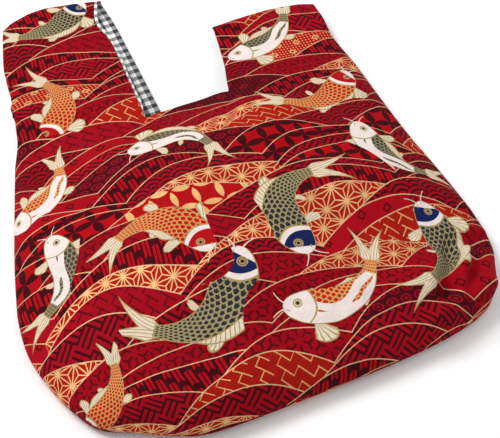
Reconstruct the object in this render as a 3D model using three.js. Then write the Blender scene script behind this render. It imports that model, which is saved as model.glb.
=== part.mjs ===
// A knot bag that lies on its back: two printed outer panels with their straps, and a gingham lining.
// Millimetres, +Z up. +Y runs from the bottom seam to the handles and +X is the short handle's side.
// The origin is under the middle of the whole bag, on the table.
import * as THREE from 'three';

// Driving dimensions
const bag_width = 346.7;
const body_height = 275;
const long_handle_rise = 169;
const short_handle_rise = 88;
const crest_height = 50;
const side_seam_height = 9;
const handle_fold_height = 7;
const handle_fold_reach = 9;
const back_edge_reach = 16;
const strap_droop = 2.5;
const strap_clearance = 13;
const outer_wall = 1.4;
const lining_wall = 1.0;
const layer_gap = 0.3;
const lining_roll = 3.2;
const slit_release = 36;
const fold_depth = 4;
const fold_width = 20;

const half_width = bag_width / 2;
const total_length = body_height + long_handle_rise;

// The body's outline, from the neckline's left end down, round the bottom and up to its right end.
// across is a share of half the width, up is a share of the body's height.
const body_outline = [
  { across: -0.76, up: 1.0 },
  { across: -0.896, up: 0.727 },
  { across: -0.963, up: 0.573 },
  { across: -0.991, up: 0.49 },
  { across: -1.0, up: 0.39 },
  { across: -0.972, up: 0.296 },
  { across: -0.924, up: 0.209 },
  { across: -0.847, up: 0.13 },
  { across: -0.721, up: 0.084 },
  { across: -0.601, up: 0.042 },
  { across: -0.435, up: 0.007 },
  { across: -0.014, up: 0.0 },
  { across: 0.358, up: 0.002 },
  { across: 0.599, up: 0.014 },
  { across: 0.779, up: 0.042 },
  { across: 0.885, up: 0.095 },
  { across: 0.945, up: 0.16 },
  { across: 0.984, up: 0.221 },
  { across: 1.0, up: 0.33 },
  { across: 0.987, up: 0.504 },
  { across: 0.962, up: 0.69 },
  { across: 0.95, up: 1.0 },
];
// Where the two bottom corners lie on that outline, as shares of its length
const left_corner = 0.30;
const right_corner = 0.68;

// How high the front stands over its seams along the bag. crest is a share of the crest's own height.
const body_sections = [
  { up: 0.0, crest: 0.0 },
  { up: 0.04, crest: 0.42 },
  { up: 0.10, crest: 0.60 },
  { up: 0.22, crest: 0.76 },
  { up: 0.36, crest: 0.90 },
  { up: 0.50, crest: 0.985 },
  { up: 0.60, crest: 1.0 },
  { up: 0.75, crest: 0.90 },
  { up: 0.90, crest: 0.59 },
  { up: 1.0, crest: 0.33 },
];

// The straps, from the neckline up. left and right are shares of half the width. lift is the height of the
// front strap's middle over the table as a share of strap_clearance.
const long_front_strap = [
  { up: 0.0, left: -0.76, right: -0.126, lift: 1.8 },
  { up: 0.17, left: -0.701, right: -0.116, lift: 1.65 },
  { up: 0.33, left: -0.673, right: -0.106, lift: 1.48 },
  { up: 0.5, left: -0.644, right: -0.094, lift: 1.28 },
  { up: 0.66, left: -0.628, right: -0.09, lift: 1.15 },
  { up: 0.82, left: -0.592, right: -0.108, lift: 1.08 },
  { up: 1.0, left: -0.546, right: -0.056, lift: 1.0 },
];
const long_back_strap = [
  { up: 0.0, left: -0.76, right: -0.019 },
  { up: 0.17, left: -0.701, right: -0.017 },
  { up: 0.33, left: -0.673, right: -0.015 },
  { up: 0.5, left: -0.644, right: -0.013 },
  { up: 0.66, left: -0.628, right: -0.012 },
  { up: 0.82, left: -0.592, right: -0.011 },
  { up: 1.0, left: -0.546, right: -0.01 },
];
const short_front_strap = [
  { up: 0.0, left: 0.289, right: 0.95, lift: 1.8 },
  { up: 0.34, left: 0.343, right: 0.936, lift: 1.5 },
  { up: 0.68, left: 0.386, right: 0.941, lift: 1.25 },
  { up: 1.0, left: 0.419, right: 0.95, lift: 1.05 },
];
const short_back_strap = [
  { up: 0.0, left: 0.314, right: 0.95 },
  { up: 0.34, left: 0.368, right: 0.936 },
  { up: 0.68, left: 0.409, right: 0.941 },
  { up: 1.0, left: 0.431, right: 0.95 },
];

// The top edge of each strap. over is a share of the strap's width, reach is a share of the handle's rise.
const long_strap_top = [
  { over: 0.0, reach: 0.93 },
  { over: 0.14, reach: 0.972 },
  { over: 0.45, reach: 1.0 },
  { over: 1.0, reach: 0.955 },
];
const short_strap_top = [
  { over: 0.0, reach: 1.0 },
  { over: 0.3, reach: 1.0 },
  { over: 0.6, reach: 0.99 },
  { over: 0.85, reach: 0.955 },
  { over: 1.0, reach: 0.905 },
];

// Soft folds and dents in the front. Places are shares of half the width and of the body's height, wide is a
// share of fold_width and deep a share of fold_depth, where a minus sign stands up as a ridge.
const folds = [
  { from_across: 0.96, from_up: 0.20, to_across: 0.56, to_up: 0.34, wide: 1.0, deep: 1.3 },
  { from_across: 0.92, from_up: 0.12, to_across: 0.60, to_up: 0.15, wide: 0.8, deep: -0.9 },
  { from_across: 0.98, from_up: 0.34, to_across: 0.70, to_up: 0.46, wide: 0.9, deep: -0.9 },
  { from_across: 0.40, from_up: 0.30, to_across: 0.30, to_up: 0.52, wide: 1.1, deep: 1.1 },
  { from_across: -0.80, from_up: 0.22, to_across: -0.35, to_up: 0.16, wide: 1.1, deep: 0.9 },
  { from_across: -0.60, from_up: 0.98, to_across: -0.42, to_up: 0.62, wide: 1.3, deep: 1.0 },
  { from_across: 0.72, from_up: 0.98, to_across: 0.50, to_up: 0.68, wide: 1.3, deep: 1.0 },
  { from_across: -0.12, from_up: 0.94, to_across: 0.16, to_up: 0.90, wide: 1.0, deep: 0.7 },
  { from_across: -0.05, from_up: 0.04, to_across: 0.02, to_up: 0.20, wide: 1.1, deep: 0.7 },
];

// Where the side seams end and the handles' outer openings begin, as shares of each handle's rise
const long_slit = 0.17;
const short_slit = 0.34;

// How many cells the cloth is divided into
const strap_columns = 9;
const neck_columns = 4;
const body_rows = 16;
const long_rows = 9;
const short_rows = 7;

// The shape of the dome across the bag: a low power gives round flanks, a high one a flat middle
const dome_power = 2.4;
const flank_power = 0.7;

const smooth = (value) => THREE.MathUtils.smoothstep(value, 0, 1);
const mix = THREE.MathUtils.lerp;

// A smooth curve through the rows of a table, read at one place
function read_table(rows, place, column, at) {
  const last = rows.length - 1;
  let k = 0;
  while (k < last - 1 && at > rows[k + 1][place]) k += 1;
  const slope = (i) => {
    const a = rows[Math.max(i - 1, 0)];
    const b = rows[Math.min(i + 1, last)];
    return (b[column] - a[column]) / (b[place] - a[place]);
  };
  const span = rows[k + 1][place] - rows[k][place];
  const t = (at - rows[k][place]) / span;
  const start = rows[k][column] * (1 + 2 * t) * (1 - t) ** 2 + slope(k) * span * t * (1 - t) ** 2;
  const end = rows[k + 1][column] * t * t * (3 - 2 * t) + slope(k + 1) * span * t * t * (t - 1);
  return start + end;
}

const outline = new THREE.SplineCurve(
  body_outline.map((row) => new THREE.Vector2(row.across * half_width, row.up * body_height)),
);
const left_edge = (r) => outline.getPointAt(left_corner * (1 - r));
const right_edge = (r) => outline.getPointAt(mix(right_corner, 1, r));
const bottom_edge = (s) => outline.getPointAt(mix(left_corner, right_corner, s));
const neck_left = left_edge(1);
const neck_right = right_edge(1);

// The flat place of a point of the body: s goes from the left side to the right, r from the bottom seam up
function body_place(s, r) {
  const neck = neck_left.clone().lerp(neck_right, s);
  const sides = left_edge(r).lerp(right_edge(r), s);
  const corners = left_edge(0).lerp(right_edge(0), s).lerp(neck, r);
  return bottom_edge(s).lerp(neck, r).add(sides).sub(corners);
}

// A quarter circle from 0 at the edge to 1 at the far side, upright where it starts
function round_rise(share) {
  const rest = 1 - Math.min(share, 1);
  return Math.sqrt(1 - rest * rest);
}

// Two shares that both start upright at their edges, joined so that the corner between them is round too
function joined_rise(a, b) {
  if (a <= 0 || b <= 0) return 0;
  return 1 / Math.sqrt(1 / (a * a) + 1 / (b * b) - 1);
}

const crest_rows = body_sections.map((row) => ({ root: Math.sqrt(row.up), crest: row.crest }));

function fold_offset(x, y) {
  let offset = 0;
  for (const fold of folds) {
    const start = new THREE.Vector2(fold.from_across * half_width, fold.from_up * body_height);
    const end = new THREE.Vector2(fold.to_across * half_width, fold.to_up * body_height);
    const along = end.clone().sub(start);
    const reach = new THREE.Vector2(x, y).sub(start);
    const share = THREE.MathUtils.clamp(reach.dot(along) / along.lengthSq(), 0, 1);
    const distance = reach.sub(along.multiplyScalar(share)).length() / (fold.wide * fold_width);
    offset -= fold.deep * fold_depth * Math.exp(-distance * distance);
  }
  return offset;
}

// Height of the front's upper face, on the body
function front_height(s, r, x, y) {
  const across = (1 - Math.abs(2 * s - 1) ** dome_power) ** flank_power;
  const crest = read_table(crest_rows, 'root', 'crest', Math.sqrt(r));
  const share = joined_rise(across, crest);
  const height = side_seam_height + (crest_height - side_seam_height) * share;
  return height + fold_offset(x, y) * Math.min(1, 2 * share);
}

// Height of the back's lower face, on the body: flat on the table, and up to the seams at the edges
function back_height(s, r, width) {
  const side = Math.min(s, 1 - s) * width;
  const end = r * body_height;
  const flat = joined_rise(round_rise(side / back_edge_reach), round_rise(end / back_edge_reach));
  return side_seam_height * (1 - flat);
}

// One panel's surface as a grid of columns and rows. Straps stand on the columns beside the neckline.
function panel_grid(panel) {
  const { front, long_strap, short_strap } = panel;
  const neck_span = neck_right.x - neck_left.x;
  const share_at = (across) => (across * half_width - neck_left.x) / neck_span;
  const long_inner = share_at(long_strap[0].right);
  const short_inner = share_at(short_strap[0].left);

  const columns = [];
  for (let i = 0; i < strap_columns; i += 1) {
    columns.push(long_inner * (1 - Math.cos((Math.PI / 2) * (i / strap_columns))));
  }
  for (let i = 0; i < neck_columns; i += 1) {
    columns.push(mix(long_inner, short_inner, i / neck_columns));
  }
  for (let i = 0; i <= strap_columns; i += 1) {
    columns.push(mix(short_inner, 1, Math.sin((Math.PI / 2) * (i / strap_columns))));
  }

  // sewn is 1 where the point is held by a seam, and falls to 0 where the cloth's edge is free
  const points = new Map();
  const key = (block, i, j) => `${block}:${i}:${j}`;
  const place = (block, i, j, sewn, x, y, z) => {
    points.set(key(block, i, j), { at: new THREE.Vector3(x, y, z), sewn });
  };

  for (let j = 0; j <= body_rows; j += 1) {
    const r = 1 - Math.cos((Math.PI / 2) * (j / body_rows));
    const width = right_edge(r).x - left_edge(r).x;
    columns.forEach((s, i) => {
      const flat = body_place(s, r);
      const z = front ? front_height(s, r, flat.x, flat.y) : back_height(s, r, width);
      const sewn = j === 0 || i === 0 || i === columns.length - 1 ? 1 : 0;
      place('body', i, j, sewn, flat.x, flat.y, z);
    });
  }

  const straps = [
    {
      block: 'long', first: 0, rows: long_rows, rise: long_handle_rise, table: long_strap,
      top: long_strap_top, slit: long_slit, outer: 0, roll: panel.roll,
    },
    {
      block: 'short', first: strap_columns + neck_columns, rows: short_rows, rise: short_handle_rise,
      table: short_strap, top: short_strap_top, slit: short_slit, outer: strap_columns, roll: 0,
    },
  ];
  for (const strap of straps) {
    const base_left = columns[strap.first];
    const base_width = columns[strap.first + strap_columns] - base_left;
    const inner = strap_columns - strap.outer;
    for (let j = 1; j <= strap.rows; j += 1) {
      const q = Math.sin((Math.PI / 2) * (j / strap.rows));
      const left = read_table(strap.table, 'up', 'left', q) * half_width;
      const right = read_table(strap.table, 'up', 'right', q) * half_width;
      const seam = 1 - smooth(((q - strap.slit) * strap.rise) / slit_release);
      for (let i = 0; i <= strap_columns; i += 1) {
        const column = columns[strap.first + i];
        const even = (column - base_left) / base_width;
        const reach = read_table(strap.top, 'over', 'reach', even) * strap.rise;
        const fold = round_rise(((1 - q) * reach) / handle_fold_reach);
        const rolled = i === inner ? (strap.roll * fold * smooth(q / strap.slit)) / (right - left) : 0;
        const over = even + rolled;
        const from_outside = Math.abs(even - strap.outer / strap_columns) * (right - left);
        const edge = (1 - round_rise(from_outside / back_edge_reach)) * seam;
        let free = 0;
        if (front) {
          const lift = read_table(strap.table, 'up', 'lift', q) * strap_clearance;
          const arch = lift - strap_droop * (2 * over - 1) ** 2;
          const flat = body_place(column, 1);
          free = mix(front_height(column, 1, flat.x, flat.y), arch, smooth(q / (2 * strap.slit)));
        }
        const z = mix(handle_fold_height, mix(free, side_seam_height, edge), fold);
        const sewn = j === strap.rows ? 1 : seam * (i === strap.outer ? 1 : 0);
        place(strap.block, i, j, sewn, mix(left, right, over), body_height + q * reach, z);
      }
    }
  }

  const find = (block, i, j) => {
    if (block === 'long' && j === 0) return key('body', i, body_rows);
    if (block === 'short' && j === 0) return key('body', strap_columns + neck_columns + i, body_rows);
    return key(block, i, j);
  };
  const cells = [];
  const add_cells = (block, column_count, row_count) => {
    for (let j = 0; j < row_count; j += 1) {
      for (let i = 0; i < column_count; i += 1) {
        cells.push([
          find(block, i, j), find(block, i + 1, j), find(block, i + 1, j + 1), find(block, i, j + 1),
        ]);
      }
    }
  };
  add_cells('body', columns.length - 1, body_rows);
  add_cells('long', strap_columns, long_rows);
  add_cells('short', strap_columns, short_rows);
  return { points, cells };
}

// Edges that only one cell uses, in the cell's own direction
function border_edges(cells) {
  const edges = new Map();
  for (const cell of cells) {
    cell.forEach((a, k) => {
      const b = cell[(k + 1) % 4];
      if (edges.has(`${b}|${a}`)) edges.delete(`${b}|${a}`);
      else edges.set(`${a}|${b}`, [a, b]);
    });
  }
  return [...edges.values()];
}

// Directions out of the cloth. Along a sewn edge they are level, so two panels meet face to face there.
function cloth_normals(points, cells, front) {
  const normals = new Map([...points.keys()].map((name) => [name, new THREE.Vector3()]));
  for (const cell of cells) {
    const [a, b, c, d] = cell.map((name) => points.get(name).at);
    const normal = c.clone().sub(a).cross(d.clone().sub(b));
    if (!front) normal.negate();
    cell.forEach((name) => normals.get(name).add(normal));
  }
  const outward = new Map();
  for (const [a, b] of border_edges(cells)) {
    const along = points.get(b).at.clone().sub(points.get(a).at);
    const out = new THREE.Vector3(along.y, -along.x, 0).normalize();
    for (const name of [a, b]) {
      if (!outward.has(name)) outward.set(name, new THREE.Vector3());
      outward.get(name).add(out);
    }
  }
  for (const [name, normal] of normals) {
    normal.normalize();
    if (outward.has(name)) normal.lerp(outward.get(name).normalize(), points.get(name).sewn).normalize();
  }
  return normals;
}

// A closed wall of cloth: depth is how far its outer face lies under the panel's surface
function cloth_solid(panel, depth, wall) {
  const { points, cells } = panel_grid(panel);
  const normals = cloth_normals(points, cells, panel.front);
  const names = [...points.keys()];
  const seam_shift = (panel.front ? 1 : -1) * (layer_gap / 2);
  const positions = [];
  for (const offset of [depth, depth + wall]) {
    for (const name of names) {
      const point = points.get(name).at.clone().addScaledVector(normals.get(name), -offset);
      const lift = panel.front ? seam_shift : seam_shift * smooth(point.z / side_seam_height);
      positions.push(point.x, point.y - total_length / 2, point.z + lift);
    }
  }
  const index = new Map(names.map((name, k) => [name, k]));
  const inner = names.length;
  const triangles = [];
  const add_quad = (a, b, c, d) => {
    if (panel.front) triangles.push(a, b, c, a, c, d);
    else triangles.push(a, c, b, a, d, c);
  };
  for (const cell of cells) {
    const [a, b, c, d] = cell.map((name) => index.get(name));
    add_quad(a, b, c, d);
    add_quad(inner + a, inner + d, inner + c, inner + b);
  }
  for (const edge of border_edges(cells)) {
    const [a, b] = edge.map((name) => index.get(name));
    add_quad(b, a, inner + a, inner + b);
  }
  const geometry = new THREE.BufferGeometry();
  geometry.setAttribute('position', new THREE.Float32BufferAttribute(positions, 3));
  geometry.setIndex(triangles);
  geometry.computeVertexNormals();
  return geometry;
}

function cloth_mesh(name, geometry, color, roughness) {
  const material = new THREE.MeshStandardMaterial({ color, roughness, metalness: 0 });
  const mesh = new THREE.Mesh(geometry, material);
  mesh.name = name;
  return mesh;
}

const front_cut = { front: true, long_strap: long_front_strap, short_strap: short_front_strap };
const front = { ...front_cut, roll: 0 };
const rolled_front = { ...front_cut, roll: lining_roll };
const back = { front: false, long_strap: long_back_strap, short_strap: short_back_strap, roll: 0 };
const lining_depth = outer_wall + layer_gap;

const bag = new THREE.Group();
bag.add(
  cloth_mesh('front_panel', cloth_solid(front, 0, outer_wall), 0xb0122a, 0.75),
  cloth_mesh('back_panel', cloth_solid(back, 0, outer_wall), 0xa01028, 0.75),
  cloth_mesh('front_lining', cloth_solid(rolled_front, lining_depth, lining_wall), 0xc8c8c8, 0.85),
  cloth_mesh('back_lining', cloth_solid(back, lining_depth, lining_wall), 0xb8b8b8, 0.85),
);

export default bag;
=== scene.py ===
# %% [markdown]
# A knot bag lies on its back on a white table. It is four pieces of cloth: a printed front and back panel,
# each cut in one with its two handle straps, and a checked lining of the same cut inside them.
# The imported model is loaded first. It gives the whole length, and it is never moved or changed.

import functools
import math

import bmesh
import bpy
import numpy as np
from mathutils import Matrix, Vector, noise


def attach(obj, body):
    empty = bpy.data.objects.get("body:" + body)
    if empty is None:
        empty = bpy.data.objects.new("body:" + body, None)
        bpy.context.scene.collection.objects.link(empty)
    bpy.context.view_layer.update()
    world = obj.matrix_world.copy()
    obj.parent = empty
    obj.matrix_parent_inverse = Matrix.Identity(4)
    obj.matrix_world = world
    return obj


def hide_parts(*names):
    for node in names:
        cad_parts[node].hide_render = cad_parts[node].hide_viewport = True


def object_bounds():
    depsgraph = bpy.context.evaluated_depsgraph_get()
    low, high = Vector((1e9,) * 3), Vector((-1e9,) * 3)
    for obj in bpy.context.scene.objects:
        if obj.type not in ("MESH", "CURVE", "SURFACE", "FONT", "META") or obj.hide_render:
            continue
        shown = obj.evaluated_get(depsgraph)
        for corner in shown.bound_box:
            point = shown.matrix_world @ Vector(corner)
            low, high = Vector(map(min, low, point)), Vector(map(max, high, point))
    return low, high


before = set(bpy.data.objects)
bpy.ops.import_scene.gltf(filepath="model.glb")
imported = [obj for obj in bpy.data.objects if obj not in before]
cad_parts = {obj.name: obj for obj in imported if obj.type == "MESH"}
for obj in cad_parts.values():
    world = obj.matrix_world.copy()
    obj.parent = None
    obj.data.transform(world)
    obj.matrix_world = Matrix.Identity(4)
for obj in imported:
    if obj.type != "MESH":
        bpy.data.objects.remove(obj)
scene = bpy.context.scene
cad_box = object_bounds()
print("CAD box in metres:", [[round(value, 4) for value in corner] for corner in cad_box])

# %% [markdown]
# The picture was taken from the front left and from above, looking down at 52 degrees, with a longish lens.
# A camera could be aimed with a constraint, but a place and a direction are enough and stay put.

# %% The camera
CAMERA_AZIMUTH = math.radians(-24)
CAMERA_ELEVATION = math.radians(52)
CAMERA_PLACE = Vector((-0.20733, -0.5686, 0.7134))
CAMERA_LENS_MM = 85


def add_aimed(name, data, place, direction):
    """Puts a camera or a lamp at a place, looking in a direction."""
    made = bpy.data.objects.new(name, data)
    made.location = place
    made.rotation_mode = "QUATERNION"
    made.rotation_quaternion = direction.to_track_quat("-Z", "Y")
    scene.collection.objects.link(made)
    return made


look = Vector((
    -math.cos(CAMERA_ELEVATION) * math.sin(CAMERA_AZIMUTH),
    math.cos(CAMERA_ELEVATION) * math.cos(CAMERA_AZIMUTH),
    -math.sin(CAMERA_ELEVATION),
))
camera = add_aimed("camera", bpy.data.cameras.new("camera"), CAMERA_PLACE, look)
camera.data.lens = CAMERA_LENS_MM
bpy.context.scene.camera = camera
print("camera looks along", [round(value, 3) for value in look])

# %% [markdown]
# The pictured table is plain white under even studio light, and the red print keeps its full colour. A white
# world and two large soft lamps give that: the key from the upper left models the folds, and the fill opens
# the shadows. The Standard view keeps the ink colours as they are mixed, where the default one greys them.

# %% Light and table
TABLE_SIZE = 6.0
ROOM_LIGHT = 0.62
# what a Math node does, written as a sign
SIGNS = {"+": "ADD", "-": "SUBTRACT", "*": "MULTIPLY", "/": "DIVIDE", "<": "LESS_THAN", ">": "GREATER_THAN"}


def srgb(hex_colour):
    """A colour written as #rrggbb, turned to the linear values that shaders take."""
    shares = [int(hex_colour[place:place + 2], 16) / 255 for place in (1, 3, 5)]
    linear = [share / 12.92 if share <= 0.04045 else ((share + 0.055) / 1.055) ** 2.4 for share in shares]
    return (*linear, 1.0)


def add_node(tree, kind, *inputs, **settings):
    """Adds one shader node and returns its first output, if it has any. kind is the node's name or, as a
    sign or in capitals, what a Math node does. The inputs follow in order, each a value, another output,
    or None to leave it as it is."""
    kind = SIGNS.get(kind, kind)
    if kind.isupper():
        kind, settings = "Math", {**settings, "operation": kind}
    made = tree.nodes.new("ShaderNode" + kind)
    for setting, value in settings.items():
        setattr(made, setting, value)
    for socket, value in zip(made.inputs, inputs):
        if isinstance(value, bpy.types.NodeSocket):
            tree.links.new(value, socket)
        elif value is not None:
            socket.default_value = value
    return made.outputs[0] if made.outputs else None


def new_material(name):
    """An empty material with its own Principled shader wired to the surface."""
    material = bpy.data.materials.new(name)
    material.use_nodes = True
    material.node_tree.nodes.clear()
    surface = add_node(material.node_tree, "BsdfPrincipled")
    add_node(material.node_tree, "OutputMaterial", surface)
    return material, surface.node


def add_mesh(name, shape):
    """Turns a finished shape into an object of the scene."""
    mesh = bpy.data.meshes.new(name)
    shape.to_mesh(mesh)
    shape.free()
    made = bpy.data.objects.new(name, mesh)
    scene.collection.objects.link(made)
    return made


def add_area_light(name, place, size, power):
    """A square soft lamp that points at the middle of the bag."""
    lamp = add_aimed(name, bpy.data.lights.new(name, "AREA"), place, -Vector(place))
    lamp.data.size = size
    lamp.data.energy = power


add_area_light("key_lamp", (-0.7, 0.75, 1.5), 0.8, 23)
add_area_light("fill_lamp", (1.2, -0.6, 1.6), 1.6, 5)

world = bpy.data.worlds.new("white_room")
world.use_nodes = True
world.node_tree.nodes["Background"].inputs["Color"].default_value = srgb("#ffffff")
world.node_tree.nodes["Background"].inputs["Strength"].default_value = ROOM_LIGHT
scene.world = world
scene.view_settings.view_transform = "Standard"

table_shape = bmesh.new()
bmesh.ops.create_grid(table_shape, x_segments=1, y_segments=1, size=TABLE_SIZE / 2)
table = add_mesh("table_top", table_shape)
# Matt white laminate: no grain and hardly any gloss, so it shows as an even white
laminate, laminate_shader = new_material("matt_white_laminate")
laminate_shader.inputs["Base Color"].default_value = srgb("#fbfbfb")
laminate_shader.inputs["Roughness"].default_value = 0.9
table.data.materials.append(laminate)
print("table", TABLE_SIZE, "m wide")

# %% [markdown]
# The cut of the cloth is the one of the CAD panels: an outline with two rounded bottom corners, a dome that
# lifts the front, and two straps. The same few tables give it here, on a much finer grid. They hold shares
# of the bag's sizes in mm.

# %% The cut of the bag
MM = 0.001
low_corner, high_corner = (Vector(corner) / MM for corner in cad_box)
HALF_WIDTH = 173.35
BODY_HEIGHT = 275.0
TOTAL_HEIGHT = high_corner.y - low_corner.y
LONG_RISE = TOTAL_HEIGHT - BODY_HEIGHT
SHORT_RISE = 88.0
CREST_HEIGHT = 50.0
SEAM_HEIGHT = 9.0
FOLD_HEIGHT = 7.0
FOLD_REACH = 9.0
BACK_EDGE_REACH = 16.0
STRAP_DROOP = 2.5
STRAP_CLEARANCE = 13.0
LINING_ROLL = 3.2
SLIT_RELEASE = 36.0
FOLD_DEPTH = 4.0
FOLD_WIDTH = 20.0
SEAM_GAP = 0.3
OUTER_WALL = 1.4
LINING_WALL = 1.0
LINING_DEPTH = OUTER_WALL + SEAM_GAP

# across (share of half the width), up (share of the body's height)
BODY_OUTLINE = np.array([
    (-0.76, 1.0), (-0.896, 0.727), (-0.963, 0.573), (-0.991, 0.49), (-1.0, 0.39), (-0.972, 0.296),
    (-0.924, 0.209), (-0.847, 0.13), (-0.721, 0.084), (-0.601, 0.042), (-0.435, 0.007), (-0.014, 0.0),
    (0.358, 0.002), (0.599, 0.014), (0.779, 0.042), (0.885, 0.095), (0.945, 0.16), (0.984, 0.221),
    (1.0, 0.33), (0.987, 0.504), (0.962, 0.69), (0.95, 1.0),
]) * (HALF_WIDTH, BODY_HEIGHT)
LEFT_CORNER, RIGHT_CORNER = 0.30, 0.68
# up (share of the body's height), crest (share of the crest's height)
BODY_SECTIONS = np.array([
    (0.0, 0.0), (0.04, 0.42), (0.10, 0.60), (0.22, 0.76), (0.36, 0.90), (0.50, 0.985), (0.60, 1.0),
    (0.75, 0.90), (0.90, 0.59), (1.0, 0.33),
])
# up (share of the rise), left and right (shares of half the width), lift (share of the clearance)
LONG_STRAP = np.array([
    (0.0, -0.76, -0.126, 1.8), (0.17, -0.701, -0.116, 1.65), (0.33, -0.673, -0.106, 1.48),
    (0.5, -0.644, -0.094, 1.28), (0.66, -0.628, -0.09, 1.15), (0.82, -0.592, -0.108, 1.08),
    (1.0, -0.546, -0.056, 1.0),
])
LONG_BACK_STRAP = LONG_STRAP.copy()
LONG_BACK_STRAP[:, 2] = (-0.019, -0.017, -0.015, -0.013, -0.012, -0.011, -0.023)
SHORT_STRAP = np.array([
    (0.0, 0.289, 0.95, 1.8), (0.34, 0.343, 0.936, 1.5), (0.68, 0.386, 0.941, 1.25), (1.0, 0.419, 0.95, 1.05),
])
SHORT_BACK_STRAP = SHORT_STRAP.copy()
SHORT_BACK_STRAP[:, 1] = (0.314, 0.368, 0.409, 0.431)
# over (share of the strap's width), reach (share of the rise)
LONG_TOP = np.array([(0.0, 0.93), (0.14, 0.972), (0.45, 1.0), (1.0, 0.955)])
SHORT_TOP = np.array([(0.0, 1.0), (0.3, 1.0), (0.6, 0.99), (0.85, 0.955), (1.0, 0.905)])
LONG_SLIT, SHORT_SLIT = 0.17, 0.34
# from across, from up, to across, to up, width and depth (shares of FOLD_WIDTH and FOLD_DEPTH)
MAIN_FOLDS = [
    (0.96, 0.20, 0.56, 0.34, 1.0, 1.3), (0.92, 0.12, 0.60, 0.15, 0.8, -0.9),
    (0.98, 0.34, 0.70, 0.46, 0.9, -0.9), (0.40, 0.30, 0.30, 0.52, 1.1, 1.1),
    (-0.80, 0.22, -0.35, 0.16, 1.1, 0.9), (-0.60, 0.98, -0.42, 0.62, 1.3, 1.0),
    (0.72, 0.98, 0.50, 0.68, 1.3, 1.0), (-0.12, 0.94, 0.16, 0.90, 1.0, 0.7),
    (-0.05, 0.04, 0.02, 0.20, 1.1, 0.7),
]
print("strap rise", round(LONG_RISE, 1), "mm")

# %% [markdown]
# The outline runs from one end of the neckline round the bottom to the other. Smooth curves join the rows of
# the tables, and each point of the flat body is blended from the four sides around it, as in the CAD source.

# %% Curves and the flat body


def read_table(table, column, at):
    """A smooth curve through the rows of a table, by its first column."""
    places, values = table[:, 0], table[:, column]
    last = len(places) - 1
    before, after = np.maximum(np.arange(last + 1) - 1, 0), np.minimum(np.arange(last + 1) + 1, last)
    slopes = (values[after] - values[before]) / (places[after] - places[before])
    k = np.clip(np.searchsorted(places, at, side="left") - 1, 0, last - 1)
    span = places[k + 1] - places[k]
    t = (at - places[k]) / span
    start = values[k] * (1 + 2 * t) * (1 - t) ** 2 + slopes[k] * span * t * (1 - t) ** 2
    return start + values[k + 1] * t * t * (3 - 2 * t) + slopes[k + 1] * span * t * t * (t - 1)


def spline_points(points, steps=24):
    """A Catmull-Rom curve through the points."""
    padded = np.vstack([points[:1], points, points[-1:]])
    t = np.linspace(0, 1, steps, endpoint=False)[:, None]
    pieces = []
    for a, b, c, d in zip(padded, padded[1:], padded[2:], padded[3:]):
        v0, v1 = (c - a) / 2, (d - b) / 2
        pieces.append((2 * b - 2 * c + v0 + v1) * t**3 + (3 * c - 3 * b - 2 * v0 - v1) * t**2 + v0 * t + b)
    return np.vstack([*pieces, points[-1:]])


OUTLINE = spline_points(BODY_OUTLINE)
OUTLINE_LENGTHS = np.insert(np.cumsum(np.hypot(*np.diff(OUTLINE, axis=0).T)), 0, 0)
print("outline", round(OUTLINE_LENGTHS[-1]), "mm long")


def outline_at(share):
    """The point of the body's outline at a share of its length."""
    along = np.asarray(share) * OUTLINE_LENGTHS[-1]
    return np.stack([np.interp(along, OUTLINE_LENGTHS, OUTLINE[:, axis]) for axis in (0, 1)], axis=-1)


def mix(a, b, share):
    """The value at a share of the way from a to b."""
    return a + (b - a) * share


def body_place(s, r):
    """The flat place of a point of the body: s runs from the left side to the right, r from the seam up."""
    s, r = s[..., None], r[..., None]
    neck = mix(outline_at(0.0), outline_at(1.0), s)
    sides = mix(outline_at(LEFT_CORNER * (1 - r[..., 0])), outline_at(mix(RIGHT_CORNER, 1, r[..., 0])), s)
    corners = mix(mix(outline_at(LEFT_CORNER), outline_at(RIGHT_CORNER), s), neck, r)
    return mix(outline_at(mix(LEFT_CORNER, RIGHT_CORNER, s[..., 0])), neck, r) + sides - corners


# %% [markdown]
# The front stands over the table as a dome with soft folds in it, and the back lies flat and turns up at the
# seams. A height over the flat outline is enough for both, because no part of them overhangs.

# %% Heights of the front and the back
DOME_POWER, FLANK_POWER = 2.4, 0.7
CREST_ROWS = np.column_stack([np.sqrt(BODY_SECTIONS[:, 0]), BODY_SECTIONS[:, 1]])
TINY = 1e-6


def smooth(value):
    """A share of 0 to 1 with a soft start and a soft end."""
    value = np.clip(value, 0, 1)
    return value * value * (3 - 2 * value)


def round_rise(share):
    """A quarter circle from 0 at the edge to 1 at the far side, upright where it starts."""
    rest = 1 - np.clip(share, 0, 1)
    return np.sqrt(1 - rest * rest)


def joined_rise(a, b):
    """Two such shares joined, so that the corner between their edges is round too."""
    a, b = np.maximum(a, TINY), np.maximum(b, TINY)
    return 1 / np.sqrt(1 / a**2 + 1 / b**2 - 1)


def fold_offset(x, y, folds):
    """How far soft straight folds press the cloth in, in mm."""
    offset = np.zeros_like(x)
    for from_across, from_up, to_across, to_up, wide, deep in folds:
        start = np.array((from_across * HALF_WIDTH, from_up * BODY_HEIGHT))
        along = np.array((to_across * HALF_WIDTH, to_up * BODY_HEIGHT)) - start
        share = np.clip(((x - start[0]) * along[0] + (y - start[1]) * along[1]) / (along @ along), 0, 1)
        distance = np.hypot(x - start[0] - share * along[0], y - start[1] - share * along[1])
        offset -= deep * FOLD_DEPTH * np.exp(-((distance / (wide * FOLD_WIDTH)) ** 2))
    return offset


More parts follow.
